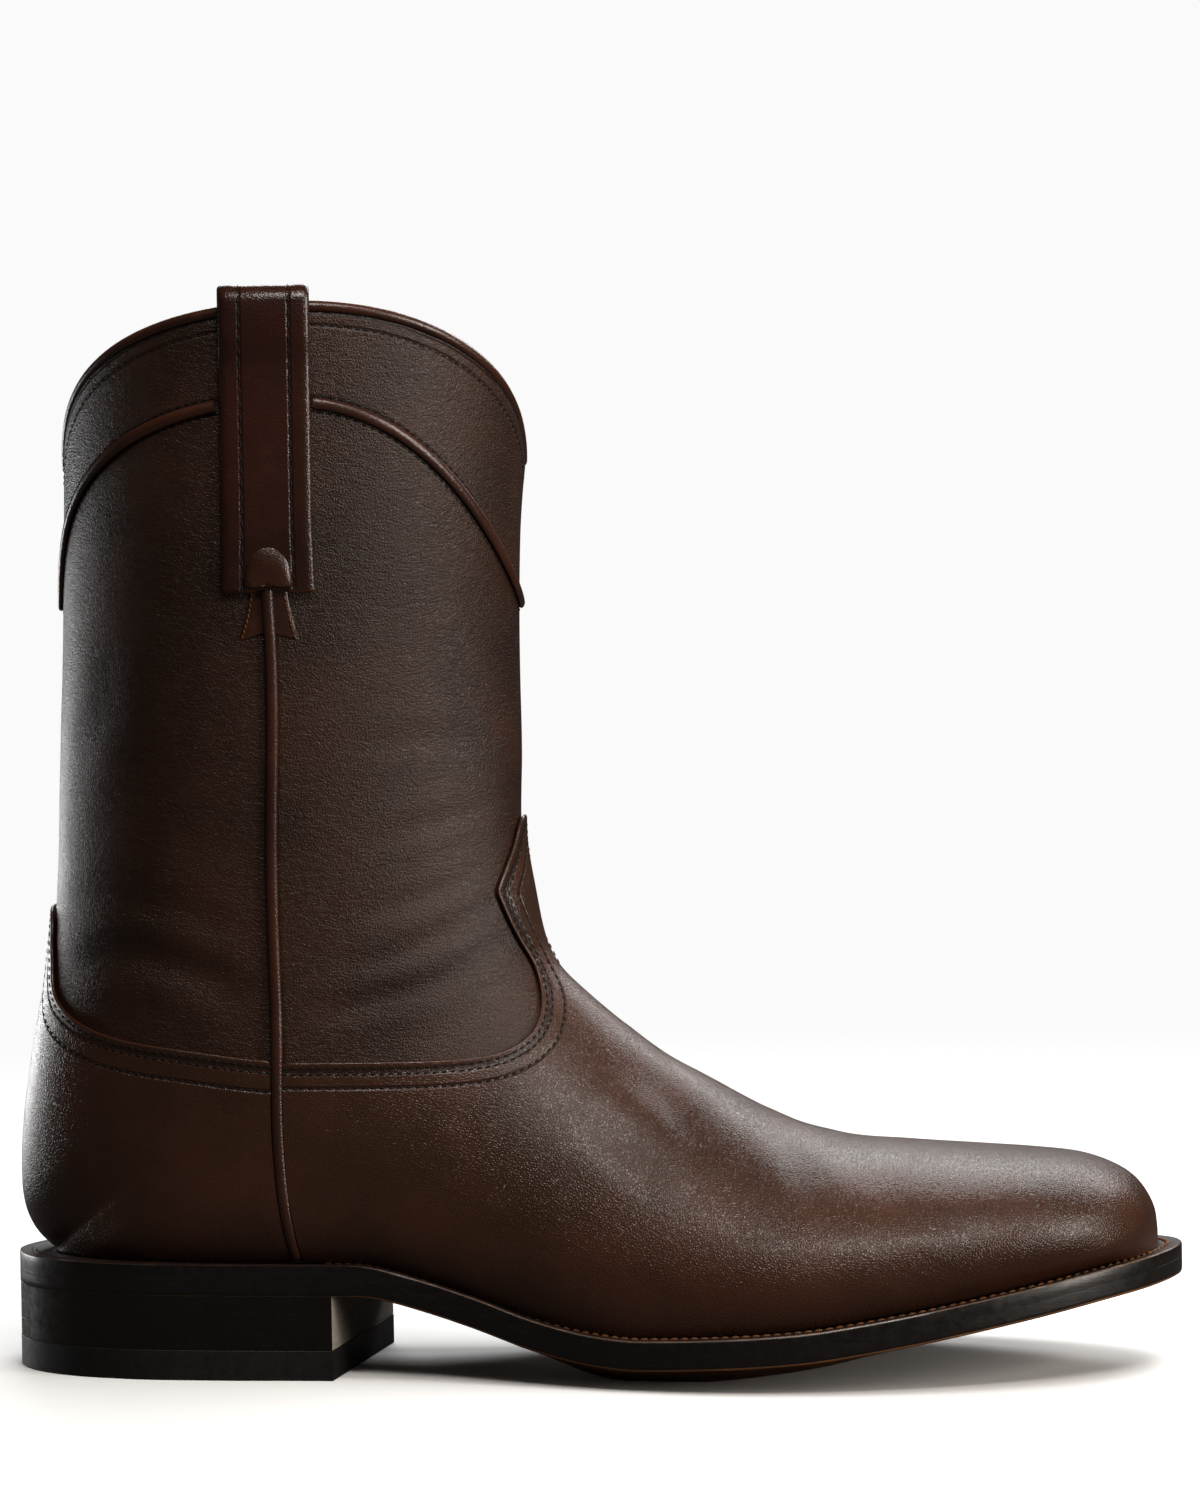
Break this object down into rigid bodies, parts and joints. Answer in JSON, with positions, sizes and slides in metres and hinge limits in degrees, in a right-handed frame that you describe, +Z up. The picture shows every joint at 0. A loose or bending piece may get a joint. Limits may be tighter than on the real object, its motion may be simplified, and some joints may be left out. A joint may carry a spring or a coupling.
{
  "type": "roper boot",
  "caption": "Low-shafted pull-on leather boot with a round toe, raised side seams, a scalloped collar with pull straps, a welted sole and a low stacked heel.",
  "frame": {"origin": "middle of the boot's box, on the floor plane", "axes": "+X towards the toe, +Z up, -Y towards the outer side of the foot"},
  "size_m": [0.31, 0.1066, 0.2858],
  "materials": {
    "outsole": "edge-inked sole leather",
    "welt": "waxed welting with thread",
    "insole": "plain vegetable-tanned",
    "heel": "edge-inked stacked leather",
    "top_lift": "matt moulded",
    "shaft": "soft grained, waxed",
    "vamp": "pebbled, waxed and brushed",
    "trim": "smooth, polished"
  },
  "bodies": {
    "root": {"outsole": "outsole", "welt": "welt", "insole": "insole", "heel_stack": "heel", "top_lift": "top_lift", "upper": "shaft", "vamp": "vamp", "counter": "vamp", "side_piping_lateral": "trim", "side_piping_medial": "trim", "yoke_piping_front": "trim", "yoke_piping_back": "trim", "collar_binding": "trim", "pull_strap_lateral": "trim", "pull_strap_medial": "trim"}
  },
  "joints": []
}
